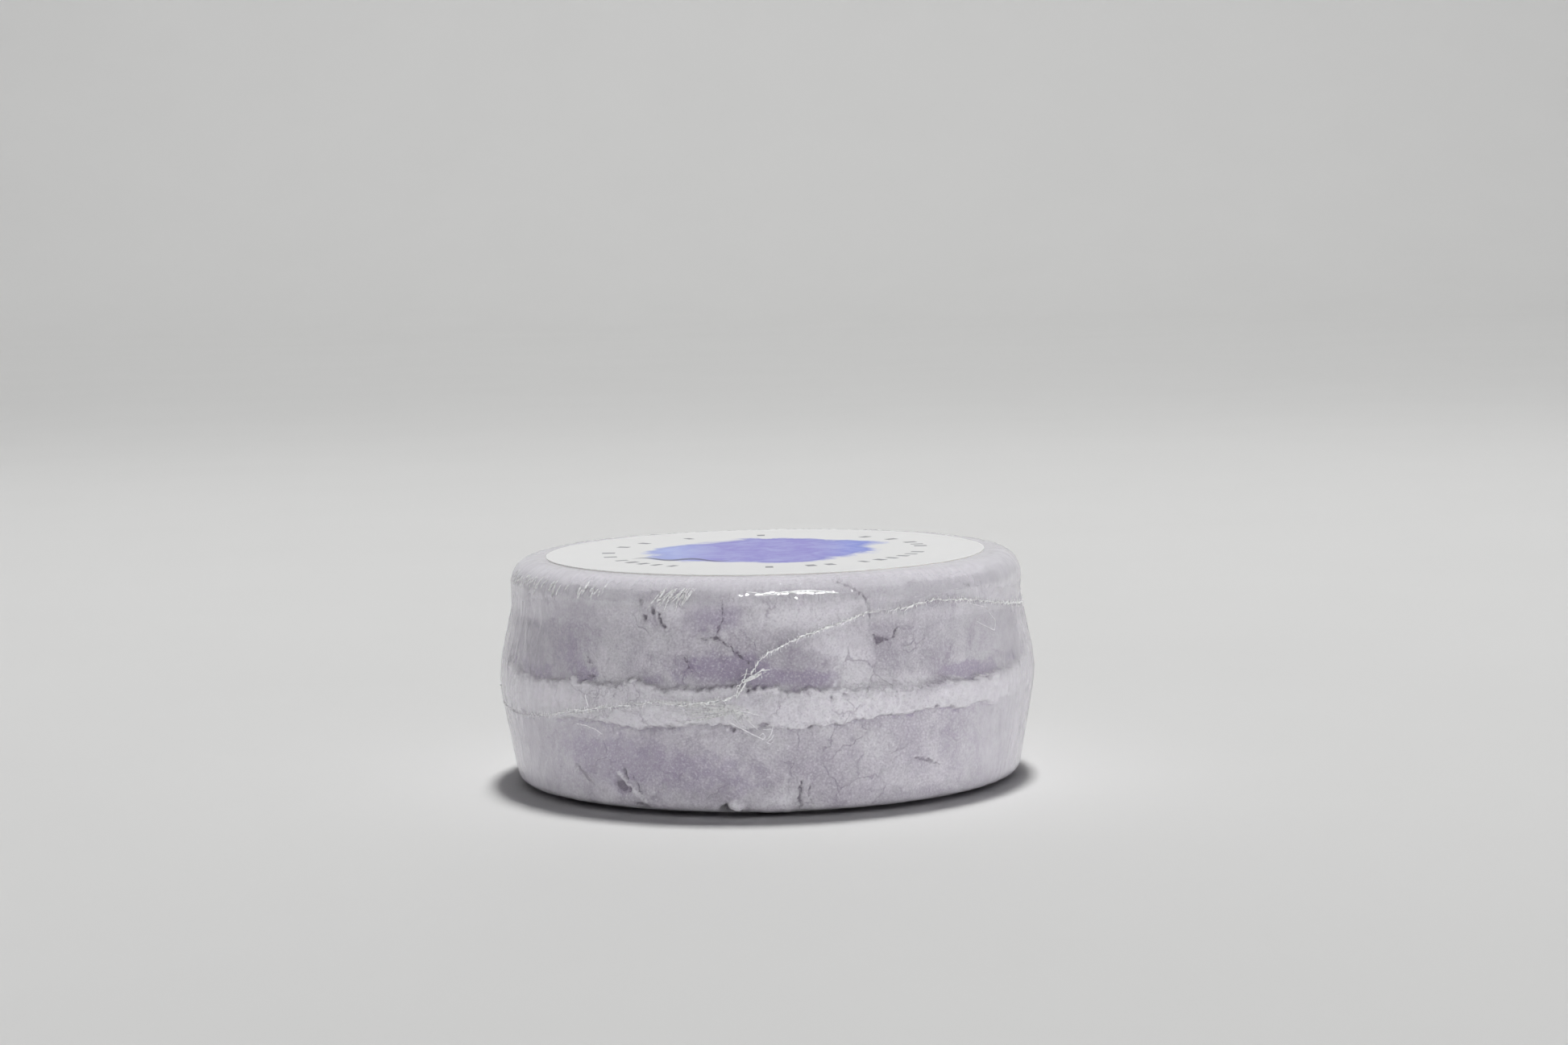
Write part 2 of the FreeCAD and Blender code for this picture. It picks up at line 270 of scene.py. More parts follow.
def spaced(path, fine, coarse, flat_radius, finest=None):
    """The path's points at even steps: coarse on the flats inside flat_radius, else fine.

    Near the heights of the band's torn edges the steps are the finest, if that is given.
    """
    lengths = np.concatenate([[0], np.cumsum(np.linalg.norm(np.diff(path, axis=0), axis=1))])
    steps = [0.0]
    while steps[-1] < lengths[-1]:
        radius = np.interp(steps[-1], lengths, path[:, 0])
        height = np.interp(steps[-1], lengths, path[:, 1])
        torn = min(abs(height - edge) for edge in TORN_EDGES) < TORN_REACH
        step = finest if finest and torn else fine
        steps.append(steps[-1] + (coarse if radius < flat_radius else step))
    steps = np.array(steps) * lengths[-1] / steps[-1]
    points = np.stack([np.interp(steps, lengths, path[:, k]) for k in (0, 1)], -1)
    slopes = np.gradient(points, axis=0)
    slopes /= np.linalg.norm(slopes, axis=1, keepdims=True)
    return points, np.stack([slopes[:, 1], -slopes[:, 0]], -1)


def azimuth_columns(count, crowding):
    """Azimuths all round, closer together at the front by that share."""
    share = np.arange(count) / count - 0.5
    return TURN * (share - crowding * np.sin(2 * math.pi * share) / (2 * math.pi))


def on_circle(azimuth, radius, height):
    angle = np.radians(azimuth)
    parts = (radius * np.sin(angle), -radius * np.cos(angle), height)
    return np.stack(np.broadcast_arrays(*parts), -1)


def mesh_object(name, vertices, faces, attributes=None):
    """A smooth mesh object from vertices in millimetres. Attributes are colours by name."""
    mesh = bpy.data.meshes.new(name)
    mesh.from_pydata((np.asarray(vertices) * MM).tolist(), [], faces)
    mesh.polygons.foreach_set("use_smooth", [True] * len(mesh.polygons))
    for attribute, channels in (attributes or {}).items():
        colours = np.zeros((len(vertices), 4), np.float32)
        colours[:, 3] = 1
        for k, channel in enumerate(channels):
            colours[: channel.size, k] = channel.ravel()
        layer = mesh.attributes.new(attribute, "FLOAT_COLOR", "POINT")
        layer.data.foreach_set("color", colours.ravel())
    mesh.update()
    piece = bpy.data.objects.new(name, mesh)
    bpy.context.scene.collection.objects.link(piece)
    return piece


def grid_faces(rows, columns, closed=True):
    """Quads over a grid of vertices. A closed grid's last column meets its first."""
    index = np.arange(rows * columns).reshape(rows, columns)
    right = np.roll(index, -1, axis=1)
    quads = np.stack([index[:-1], right[:-1], right[1:], index[1:]], -1)
    if not closed:
        quads = quads[:, :-1]
    return quads.reshape(-1, 4).tolist()


def lathe_object(name, azimuths, radius, height, attributes=None):
    """A closed round mesh from rows of radii and heights that start and end near the axis."""
    rows, columns = radius.shape
    grid = on_circle(azimuths, radius, height).reshape(-1, 3)
    poles = [[0, 0, height[0].mean()], [0, 0, height[-1].mean()]]
    first, last = rows * columns, rows * columns + 1
    faces = grid_faces(rows, columns)
    for j in range(columns):
        after = (j + 1) % columns
        faces.append([first, after, j])
        faces.append([last, first - columns + j, first - columns + after])
    return mesh_object(name, np.concatenate([grid, poles]), faces, attributes)


def tube(path, outward, half_width, half_height, sides=6):
    """Vertices and faces of a thin tube that follows the path, flattened against outward."""
    along = np.gradient(path, axis=0)
    along /= np.linalg.norm(along, axis=1, keepdims=True)
    sideways = np.cross(along, outward)
    sideways /= np.linalg.norm(sideways, axis=1, keepdims=True)
    turns = np.linspace(0, 2 * math.pi, sides, endpoint=False)
    ring = (
        path[:, None]
        + sideways[:, None] * (half_width[:, None] * np.cos(turns))[..., None]
        + outward[:, None] * (half_height[:, None] * np.sin(turns))[..., None]
    )
    faces = grid_faces(len(path), sides)
    last = (len(path) - 1) * sides
    faces.append(list(range(sides))[::-1])
    faces.append([last + k for k in range(sides)])
    return ring.reshape(-1, 3), faces


def joined(parts):
    """One list of vertices and faces from several."""
    vertices, faces, offset = [], [], 0
    for part_vertices, part_faces in parts:
        vertices.append(part_vertices)
        faces += [[v + offset for v in face] for face in part_faces]
        offset += len(part_vertices)
    return np.concatenate(vertices), faces


# ---------------------------------------------------------------- the soap
def soap_path():
    corners = [
        (0.01, SOAP_BASE, 0),
        (REST_RADIUS, SOAP_BASE, REST_ROUND),
        (FOOT_RADIUS, SOAP_BASE + FOOT_LIFT, FOOT_ROUND),
        (WALL_RADIUS, BELT_MIDDLE, 0),
        (WALL_RADIUS, SOAP_TOP, SHOULDER_ROUND),
        (0.01, SOAP_TOP, 0),
    ]
    return rounded_profile(corners)


def torn_band(azimuth, height, rough, crumbly):
    """How far a place is on the band, the heights of the band's edges there, and its smear.

    The edges are torn, except where the top has been smeared into the wall.
    """
    fray = 0.75 * rough + 0.42 * crumbly
    smear = np.exp(-((wrapped(azimuth - SMEAR_AZIMUTH) / SMEAR_WIDTH) ** 4))
    blur = 0.09 + 1.5 * smear
    top = level(azimuth, BAND_TOP) + fray * (1 - 0.5 * smear)
    bottom = level(azimuth, BAND_BOTTOM) + 0.7 * fray
    band = smooth(-blur, blur, top - height) * smooth(-0.09, 0.09, height - bottom)
    return band, top, bottom, smear


def carve(azimuth, height, relief, pale):
    """Cuts cracks and pits into the relief, and raises slivers and lumps, which are pale.

    Returns how far a place is inside the nearest opening, in millimetres.
    """
    opening = np.full(azimuth.shape, -1.0)
    for line, half_width, depth in CRACKS:
        distance, along = line_distance(azimuth, height, line)
        taper = half_width * (0.35 + 1.3 * np.sqrt(along * (1 - along)))
        cut = np.exp(-((distance / taper) ** 2)) * (along > 0) * (along < 1)
        relief -= depth * cut
        pale += 1.5 * cut * max(0.0, -depth / 0.35)
        if depth > 0:
            opening = np.maximum(opening, 0.85 * taper - distance)
    for place in PITS:
        place_azimuth, place_height, half_width, half_height, depth = place
        mound = patches(azimuth, height, [(*place[:4], 1.25)]) ** 1.5
        relief -= depth * mound
        pale += 0.6 * mound * max(0.0, -depth / 0.4)
        if depth > 0:
            x = across(azimuth, place_azimuth) / half_width
            y = (height - place_height) / half_height
            opening = np.maximum(opening, (0.8 - np.hypot(x, y)) * min(half_width, half_height))
    return opening


def soap_relief(azimuth, height):
    """The soap's relief, how pale and purple it is, with painted light and shade in both, and how far
    it is inside edges, on its side.

    The last are distances into the band and into a crack or pit: 0.5 on the edge, and more
    inside it by half of the millimetres. The material cuts them sharply, finer than the mesh could.
    """
    points = on_circle(azimuth, WALL_RADIUS, height)
    rough = cloud(points, 2.4, 3, 1)
    crumbly = cloud(points, 0.5, 3, 2)
    band, top, bottom, smear = torn_band(azimuth, height, rough, crumbly)

    heights, edges = crumbs(points + 0.5 * rough[..., None], 2.3, 4)
    broken = smooth(-0.1, 0.3, cloud(points, 6.0, 2, 7))
    plates = broken * (0.10 * (heights - 0.5) - 0.06 * smooth(0.12, 0.0, edges))
    relief = BAND_PROUD * band * (0.84 + 0.12 * rough + 0.20 * crumbly) + plates
    relief += 0.14 * cloud(points, 8.0, 3, 5) + 0.06 * rough + 0.04 * crumbly

    # The wall lies a little deeper just above the band, and under it.
    groove = np.exp(-(((height - top - 0.22) / 0.24) ** 2)) * (1 - smear)
    relief -= 0.06 * groove
    under = np.exp(-(((height - bottom + 0.2) / 0.25) ** 2))
    relief -= 0.10 * under
    step = np.minimum((top - height) / (1 + 5 * smear), height - bottom)

    # Painted light: the two height terms make the upper side paler and the shoulder palest, as light
    # from above would.
    pale = patches(azimuth, height, PALE) + 0.2 * smooth(18.0, 22.5, height)
    pale += 0.75 * smooth(22.4, 24.4, height)
    warp_azimuth = azimuth + np.degrees((0.22 * rough + 0.20 * crumbly) / WALL_RADIUS)
    warp_height = height + 0.3 * cloud(points, 0.8, 3, 6)
    # The opening also drives painted shade: the material colours the inside of cracks and pits dark.
    opening = carve(warp_azimuth, warp_height, relief, pale)

    # It is darker in a ragged zone above the band: painted shade in the corner over the band's ledge.
    shade_above_band = smooth(2.0, 0.0, np.abs(height - top - 0.3)) * (1 - smear) * (1 - band)
    shade_above_band *= smooth(-0.25, 0.25, cloud(points, 5.0, 2, 8))
    # Painted shade also darkens the groove under the band's lower edge, through the under term.
    purple_and_shade = patches(azimuth, height, PURPLE_AND_SHADE) + 0.8 * shade_above_band + 0.35 * under
    tone = np.clip(pale, 0, 1), np.clip(purple_and_shade, 0, 1)
    inside = np.clip(0.5 + step / 2, 0, 1), np.clip(0.5 + opening / 2, 0, 1)
    return relief, tone, inside


def build_soap():
    path, normals = spaced(SOAP_PATH, fine=0.23, coarse=2.6, flat_radius=25.0, finest=0.125)
    azimuths = azimuth_columns(count=650, crowding=0.45)
    azimuth, height = np.broadcast_arrays(azimuths[None, :], path[:, 1, None])
    relief, tone, inside = soap_relief(azimuth, height)
    relief = relief * smooth(25.4, 27.4, path[:, 0])[:, None]
    radius = path[:, 0, None] + normals[:, 0, None] * relief
    standing = np.maximum(path[:, 1, None] + normals[:, 1, None] * relief, SOAP_BASE)
    piece = lathe_object("soap", azimuths, radius, standing, {"tone": tone, "inside": inside})
    piece.data.materials.append(soap_material())
    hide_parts("soap_cake")
    return piece


# ---------------------------------------------------------------- the film
def film_path():
    """The film's outer profile, from the middle of its base to the middle of its top."""
    neck_radius = WALL_RADIUS + FILM_GAP
    corners = [
        (0.01, FILM_BASE, 0),
        (REST_RADIUS, FILM_BASE, REST_ROUND),
        (FOOT_RADIUS + 0.2, FILM_BASE + FOOT_LIFT, FOOT_ROUND + FILM_GAP),
        (BELT_RADIUS - 0.25, BELT_LOW, 6.0),
        (BELT_RADIUS, BELT_MIDDLE, 6.0),
        (BELT_RADIUS - 0.25, BELT_HIGH, 6.0),
        (neck_radius, NECK_HEIGHT, 4.0),
        (neck_radius, FILM_TOP, SHOULDER_ROUND + FILM_GAP),
        (0.01, FILM_TOP, 0),
    ]
    return rounded_profile(corners)


SOAP_PATH = soap_path()
FILM_PATH = film_path()
FILM_SIDE = FILM_PATH[np.argmax(FILM_PATH[:, 0] > FOOT_RADIUS) :]
FILM_SIDE = FILM_SIDE[FILM_SIDE[:, 0] > WALL_RADIUS - SHOULDER_ROUND]


def gap_to_soap(points):
    """How far each point of the film's profile lies from the soap's plain profile."""
    starts, runs = SOAP_PATH[:-1], np.diff(SOAP_PATH, axis=0)
    away = points[:, None] - starts
    share = np.clip((away * runs).sum(-1) / (runs * runs).sum(-1), 0, 1)
    return np.linalg.norm(away - share[..., None] * runs, axis=-1).min(1)


def pleats(azimuth, height, width, length, seed):
    """Sharp upright ridges, 0 to 1, that wander as they climb."""
    sway = cloud(on_circle(azimuth, WALL_RADIUS, height), 5.0, 2, seed) * 0.9
    round_side = on_circle(azimuth + np.degrees(sway / WALL_RADIUS), WALL_RADIUS, 0)
    stretched = round_side / width + np.array([0, 0, 1.0]) * (height / length)[..., None]
    ridge = 1 - np.abs(cloud(stretched, 1.0, 2, seed + 1)) * 2.6
    return np.clip(ridge, 0, 1) ** 2


def film_relief(azimuth, height, gap):
    """The film's relief and how whitish its creases make it, with a painted sheen on the shoulder."""
    soap = soap_relief(azimuth, height)[0]
    flank = np.clip(patches(azimuth, height, [
        (-70, 17.0, 13.0, 9.0, 1.0), (68, 8.0, 9.0, 8.0, 0.7), (-66, 5.0, 7.0, 5.0, 0.6),
        (88, 18.0, 8.0, 6.0, 0.7), (-135, 10.0, 12.0, 8.0, 0.9), (150, 10.0, 11.0, 8.0, 0.9),
    ]), 0, 1)
    shoulder = smooth(22.0, 24.2, height) * (0.35 + 0.65 * patches(azimuth, height, [
        (-58, 24.4, 12.0, 3.0, 1.0), (-20, 24.4, 3.2, 2.6, 1.0), (75, 24.0, 9.0, 3.0, 0.6),
        (140, 24.4, 14.0, 3.0, 0.9), (-130, 24.4, 12.0, 3.0, 0.9),
    ]))
    tight = pleats(azimuth, height, 0.9, 9.0, 11)
    broad = pleats(azimuth, height, 2.6, 16.0, 13)
    seam_distance = np.abs(height - level(azimuth, SEAM))
    gather = np.exp(-((seam_distance / 1.1) ** 2))
    creases = tight * (0.6 * flank + 0.9 * shoulder + 0.3 * gather) + 0.6 * broad * flank
    relief = 0.14 * creases + 0.03 * cloud(on_circle(azimuth, WALL_RADIUS, height), 3.5, 3, 15)
    gusset = patches(azimuth, height, [(-4.0, 10.6, 1.7, 1.3, 0.40), (-11.0, 12.0, 4.0, 0.8, 0.35)])
    flank_share = smooth(12.0, 50.0, np.abs(wrapped(azimuth)))
    # Painted sheen: the film whitens on the shoulder, more towards the flanks, in place of reflected
    # light.
    veil = smooth(22.0, 24.2, height) * (0.60 + 0.6 * flank_share)
    touching = soap - gap + FILM_GAP
    relief = np.maximum(relief, touching) + 0.02 * creases
    return relief, np.clip(0.9 * creases + 0.25 * gather + veil + gusset, 0, 1)


def film_point(azimuth, height):
    """Radius of the film's outer side at places on the side."""
    azimuth, height = np.asarray(azimuth, float), np.asarray(height, float)
    plain = np.interp(height, FILM_SIDE[:, 1], FILM_SIDE[:, 0])
    gap = gap_to_soap(np.stack([plain.ravel(), height.ravel()], -1)).reshape(plain.shape)
    return plain + film_relief(azimuth, height, gap)[0]


def build_web(name, node, upper):
    """One of the film's two webs, as a thin closed shell from its middle to the weld."""
    path, normals = spaced(FILM_PATH, fine=0.3, coarse=2.6, flat_radius=25.0)
    seam_row = int(np.argmin(np.abs(path[:, 1] - 15.0) + 99 * (path[:, 0] < FOOT_RADIUS)))
    own = slice(seam_row, None) if upper else slice(0, seam_row + 1)
    path, normals = path[own], normals[own]
    side = path[:, 0] > WALL_RADIUS - 0.05
    azimuths = azimuth_columns(count=620, crowding=0.35)
    seam = level(azimuths, SEAM) + 0.08 * cloud(on_circle(azimuths, WALL_RADIUS, 0), 0.8, 2, 21)

    # The rows on the side slide up or down so that the last one lies on the weld.
    end = path[0, 1] if upper else path[-1, 1]
    far = path[side][-1, 1] if upper else path[side][0, 1]
    share = np.where(side, (path[:, 1] - far) / (end - far), 0.0)[:, None]
    height = path[:, 1, None] + share * (seam - end)[None, :]
    radius = np.where(
        side[:, None], np.interp(height, FILM_SIDE[:, 1], FILM_SIDE[:, 0]), path[:, 0, None]
    )
    azimuth = np.broadcast_to(azimuths, height.shape)
    gap = gap_to_soap(np.stack([radius.ravel(), height.ravel()], -1)).reshape(radius.shape)
    relief, haze = film_relief(azimuth, height, gap)
    relief = relief * smooth(25.5, 27.5, path[:, 0])[:, None]
    outer_radius = radius + normals[:, 0, None] * relief
    outer_height = height + normals[:, 1, None] * relief
    wall = 0.03
    inner_radius = np.maximum(outer_radius - normals[:, 0, None] * wall, 0.005)
    inner_height = outer_height - normals[:, 1, None] * wall
    if upper:
        rows = (inner_radius[::-1], outer_radius), (inner_height[::-1], outer_height)
        hazes = (haze[::-1], haze)
    else:
        rows = (outer_radius, inner_radius[::-1]), (outer_height, inner_height[::-1])
        hazes = (haze, haze[::-1])
    radius, height = (np.concatenate(parts) for parts in rows)
    haze = np.concatenate(hazes)
    piece = lathe_object(name, azimuths, radius, height, {"haze": (haze,)})
    piece.data.materials.append(film_material())
    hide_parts(node)
    return piece


def surface_path(line, step, wander, seed, lift=0.03):
    """A line on the film's side as close-set points, a little uneven, with outward normals."""
    azimuths, heights = (np.array(v, float) for v in zip(*line))
    runs = np.hypot(np.radians(np.diff(azimuths)) * WALL_RADIUS, np.diff(heights))
    lengths = np.concatenate([[0], np.cumsum(runs)])
    steps = np.linspace(0, lengths[-1], max(6, int(lengths[-1] / step)))
    azimuth = np.interp(steps, lengths, azimuths)
    height = np.interp(steps, lengths, heights)
    places = on_circle(azimuth, WALL_RADIUS, height)
    height = height + wander * (cloud(places, 0.45, 3, seed) + 0.6 * cloud(places, 0.2, 1, seed))
    azimuth = azimuth + np.degrees(wander * cloud(places, 0.5, 3, seed + 1) / WALL_RADIUS)
    radius = film_point(azimuth, height) + lift
    return on_circle(azimuth, radius, height), on_circle(azimuth, 1.0, 0.0), steps / lengths[-1]


def strand(line, half_width, seed, wander=0.05, lift=0.03):
    """A fine drawn thread of film, thinner towards both ends."""
    path, outward, along = surface_path(line, 0.09, wander, seed, lift)
    taper = 0.25 + 0.75 * np.sin(math.pi * along) ** 0.5
    uneven = 1 + 0.35 * cloud(path, 0.3, 2, seed + 2)
    width = half_width * taper * uneven
    return tube(path, outward, width, 0.7 * width, 5)


def build_weld():
    """The crinkled ridge along the weld, with the fine frill that it draws out of the film."""
    path, outward, _ = surface_path(SEAM, 0.10, 0.16, 31, 0.02)
    uneven = cloud(path, 0.45, 3, 34)
    faint = patches(np.degrees(np.arctan2(path[:, 0], -path[:, 1])), path[:, 2], [
        (26.2, 22.0, 1.6, 1.0, 0.75), (-31, 12.2, 14.0, 2.0, 0.45),
        (-60, 9.6, 4.0, 2.0, 0.8), (-75, 9.5, 6.0, 2.0, 0.9),
    ])
    width = np.maximum(0.075 + 0.11 * uneven, 0.025) * (1 - faint)
    parts = [tube(path, outward, width, 0.8 * width, 6)]
    frill = np.random.default_rng(5)
    for i in range(0, len(path) - 4, 2):
        azimuth = math.degrees(math.atan2(path[i, 0], -path[i, 1]))
        height = float(path[i, 2])
        reach = frill.uniform(0.12, 0.50)
        lean = frill.uniform(-0.7, 0.7)
        side = frill.choice([-1.0, 1.0])
        line = [(azimuth, height), (azimuth + lean * reach, height + side * reach)]
        parts.append(strand(line, 0.030, 40 + i % 7, 0.05, 0.03))
    piece = mesh_object("weld_bead", *joined(parts))
    piece.data.materials.append(weld_material("drawn_film", 0.7, 1.0))
    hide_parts("film_weld_bead")
    return piece


def build_creases():
    """Threads and sharp creases of drawn film: whiskers, the knot and the shoulder's crease, which is
    partly a painted highlight.
    """
    lines = [
        ([(-40.2, 13.1), (-39.9, 12.5), (-39.3, 11.7)], 0.050),
        ([(-43.4, 9.7), (-40.6, 9.6), (-38.1, 9.3), (-36.6, 8.8)], 0.055),
        ([(-8.3, 10.9), (-5.4, 10.0), (-2.4, 9.15), (-1.0, 8.8)], 0.045),
        ([(-1.0, 8.8), (-0.2, 8.9), (0.4, 9.3), (0.7, 9.8), (0.9, 10.4)], 0.045),
        ([(0.9, 10.3), (0.3, 10.4), (-0.4, 10.2)], 0.040),
        ([(-7.1, 12.1), (-4.5, 11.9), (-1.5, 11.4)], 0.050),
        ([(-4.2, 11.0), (-3.2, 10.4), (-2.2, 9.9)], 0.030),
        ([(-1.9, 9.2), (-1.1, 9.5), (-0.6, 9.1), (-1.2, 8.8), (-1.8, 9.0)], 0.040),
        ([(-0.2, 8.5), (0.5, 8.9), (1.1, 9.4)], 0.040),
        ([(-1.2, 9.9), (0.3, 9.9), (1.0, 9.6)], 0.030),
        ([(-0.6, 8.5), (0.3, 8.3), (0.8, 8.6)], 0.035),
        ([(1.6, 7.6), (2.1, 7.5)], 0.035),
        ([(-3.4, 15.9), (-4.5, 15.9), (-5.4, 15.6)], 0.030),
        ([(30.4, 21.3), (30.5, 21.7), (31.6, 22.2), (33.2, 22.4)], 0.060),
        ([(48.3, 21.8), (56.0, 20.9), (59.2, 19.3), (58.0, 18.2), (51.5, 19.6)], 0.030),
        # The last two are the shoulder's crease: a whitish strand that is partly a painted highlight.
        ([(-4.3, 24.6), (-1.9, 24.5), (1.1, 24.3), (3.3, 24.5), (5.0, 24.5)], 0.070),
        ([(1.6, 24.45), (4.0, 24.5), (9.6, 24.55), (15.5, 24.2)], 0.150),
    ]
    parts = [strand(line, width, 60 + k) for k, (line, width) in enumerate(lines)]
    piece = mesh_object("film_creases", *joined(parts))
    piece.data.materials.append(weld_material("drawn_film", 0.7, 1.0))
    return piece


def build_veil():
    """Faint stretched fibres by the front ear and the weld, and whitish wrinkles on the shoulder that
    are partly painted highlights.
    """
    lines = []
    fan = np.random.default_rng(11)
    for k in range(70):
        downwards = k % 3 == 0
        direction = math.radians(fan.uniform(298, 348) if downwards else fan.uniform(174, 200))
        start = (-6.8 + fan.uniform(-1.2, 0.8), 12.2 + fan.uniform(-0.6, 0.5))
        reach = fan.uniform(1.2, 3.8) if downwards else fan.uniform(2.0, 7.0)
        end = (
            start[0] + math.degrees(reach * math.cos(direction) / WALL_RADIUS),
            start[1] + 0.9 * reach * math.sin(direction),
        )
        bend = ((start[0] + end[0]) / 2, (start[1] + end[1]) / 2 - fan.uniform(-0.1, 0.3))
        lines.append(([start, bend, end], fan.uniform(0.018, 0.042)))
    for _ in range(44):
        azimuth = fan.uniform(-50.0, -12.0)
        offset = fan.uniform(-0.35, 0.30)
        line = [(azimuth + 1.2 * i, float(level(azimuth + 1.2 * i, SEAM)) + offset) for i in range(4)]
        lines.append((line, fan.uniform(0.03, 0.07)))
    # These and the next wrinkles on the shoulder are whitish strands, partly painted highlights where
    # wrinkles catch the light.
    for k in range(16):
        azimuth = -23.5 + k * 0.48 + fan.uniform(-0.3, 0.3)
        lean = fan.uniform(0.8, 2.0)
        foot = 22.9 + fan.uniform(-0.5, 0.9)
        lines.append(([(azimuth - lean, foot), (azimuth, 24.1), (azimuth + lean, 25.0)], 0.09))
    for _ in range(46):
        azimuth = fan.uniform(-78.0, -36.0)
        top = 25.2 + fan.uniform(-0.9, 0.1)
        line = [(azimuth, top), (azimuth - fan.uniform(0.2, 1.4), top - fan.uniform(0.5, 1.5))]
        lines.append((line, fan.uniform(0.07, 0.15)))
    parts = [strand(line, width, 90 + k, 0.02) for k, (line, width) in enumerate(lines)]
    piece = mesh_object("film_veil", *joined(parts))
    piece.data.materials.append(weld_material("stretched_film", 0.22, 0.62))
    return piece


def build_ear(name, fullness):
    """A corner of the film, shrunk to a crumpled leaf with curls and loops on the weld."""
    low, high = corners_mm(name)
    middle = (low + high) / 2
    place = math.degrees(math.atan2(middle[0], -middle[1]))
    seed = 80 + int(abs(place))
    threads = np.random.default_rng(seed)

    def spot(sideways, up):
        return place + np.degrees(sideways / BELT_RADIUS), middle[2] + up

    lines = list(EAR_THREADS)
    for sideways, up, size in EAR_LOOPS:
        turns = np.linspace(0, 5.6, 9)
        ring = [(sideways + size * math.cos(t), up + 0.8 * size * math.sin(t)) for t in turns]
        lines.append((ring, 0.055))
    for _ in range(14):
        share, turn = threads.uniform(0, 1), threads.uniform(0, 2 * math.pi)
        start = (-1.9 + 2.6 * share, -0.2 + 1.1 * share)
        reach = threads.uniform(0.15, 0.40)
        tip = (start[0] + reach * math.cos(turn), start[1] + reach * math.sin(turn))
        lines.append(([start, tip], 0.03))
    parts = [
        strand([spot(*p) for p in line], width, seed + k, 0.05, 0.05 + 0.10 * (k % 4) * fullness)
        for k, (line, width) in enumerate(lines)
    ]

    # The leaf is a thin folded sheet with a torn edge.
    along, up = np.meshgrid(np.linspace(0, 1, 110), np.linspace(-1, 1, 16), indexing="ij")
    ragged = cloud(np.stack([along * 16, up * 0.8, 0 * up], -1), 1.0, 3, seed)
    azimuth, height = spot(-1.75 + 2.05 * along + 0.1 * ragged, -0.15 + 0.85 * along)
    tall = 0.03 + 0.15 * np.sin(math.pi * along ** 1.3) ** 0.7 + 0.12 * np.abs(ragged)
    height = height + tall * up
    crumple = cloud(on_circle(azimuth, BELT_RADIUS, height), (0.4, 0.4, 0.3), 3, seed + 1)
    folds = np.abs(np.sin(math.pi * (1.6 * up + 1.1 * crumple)))
    stand = (0.16 * folds + 0.14 * (crumple + 0.8)) * (1 - 0.6 * up * up) * fullness
    radius = film_point(azimuth, height) + 0.04 + stand
    front = on_circle(azimuth, radius, height)
    back = on_circle(azimuth, radius - 0.035, height)
    rows, columns = along.shape
    faces = grid_faces(rows, columns, closed=False)
    flipped = [[v + rows * columns for v in face[::-1]] for face in faces]
    index = np.arange(rows * columns).reshape(rows, columns)
    rim = np.concatenate([index[0], index[1:, -1], index[-1, -2::-1], index[-2:0:-1, 0]])
    after = np.roll(rim, -1)
    walls = np.stack([after, rim, rim + rows * columns, after + rows * columns], -1).tolist()
    vertices = np.concatenate([front.reshape(-1, 3), back.reshape(-1, 3)])
    parts.append((vertices, faces + flipped + walls))
    piece = mesh_object(name.replace("film_ear", "ear"), *joined(parts))
    piece.data.materials.append(weld_material("drawn_film", 0.7, 1.0))
    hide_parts(name)
    return piece


# ---------------------------------------------------------------- the labels
def build_label(name, node, material):
    """A round paper label with a soft cut edge, not quite flat."""
    low, high = corners_mm(node)
    edge = 0.04
    corners = [
        (0.01, low[2], 0),
        (high[0], low[2], edge),
        (high[0], high[2], edge),
        (0.01, high[2], 0),
    ]
    fine = rounded_profile(corners)
    radii = np.concatenate([np.linspace(0.5, 25.0, 50), [25.2, 25.3]])
    below, above = (np.stack([radii, np.full(len(radii), h)], -1) for h in (low[2], high[2]))
    rim = fine[fine[:, 0] > radii[-1]][::4]
    path = np.concatenate([below, rim, above[::-1]])
    azimuths = azimuth_columns(count=300, crowding=0.0)
    radius = np.repeat(path[:, :1], len(azimuths), axis=1)
    height = np.repeat(path[:, 1:], len(azimuths), axis=1)
    top = (path[:, 1] > (low[2] + high[2]) / 2)[:, None]
    waves = cloud(on_circle(azimuths[None, :], radius, 0.0), 6.0, 2, 90)
    height = height + np.where(top, 0.012 * waves, 0.0)
    piece = lathe_object(name, azimuths, radius, height)
    piece.data.materials.append(material)
    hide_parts(node)
    return piece


# ---------------------------------------------------------------- materials
def new_material(name):
    """A new material, its empty node tree, and places on the puck for its patterns."""
    material = bpy.data.materials.new(name)
    material.use_nodes = True
    tree = material.node_tree
    tree.nodes.clear()
    return material, tree, millimetres(tree)


def node(tree, kind, inputs=None, **settings):
    """Adds a shader node. Each input is a plain value, or the output socket to link to it."""
    made = tree.nodes.new(f"ShaderNode{kind}")
    for name, value in settings.items():
        setattr(made, name, value)
    for name, value in (inputs or {}).items():
        if isinstance(value, bpy.types.NodeSocket):
            tree.links.new(value, made.inputs[name])
        else:
            made.inputs[name].default_value = value
    return made


def millimetres(tree):
    """Places on the puck in millimetres."""
    place = node(tree, "TexCoord").outputs["Object"]
    scaled = {0: place, "Scale": 1 / MM}
    return node(tree, "VectorMath", scaled, operation="SCALE").outputs[0]


def grain(tree, place, size, detail=3.0, roughness=0.5, distortion=0.0):
    """Noise from 0 to 1 with features of that size in millimetres."""
    inputs = {
        "Vector": place, "Scale": 1 / size, "Detail": detail,
        "Roughness": roughness, "Distortion": distortion,
    }
    return node(tree, "TexNoise", inputs).outputs[0]


def maths(tree, operation, a, b=0.0, c=0.0):
    return node(tree, "Math", {0: a, 1: b, 2: c}, operation=operation).outputs[0]


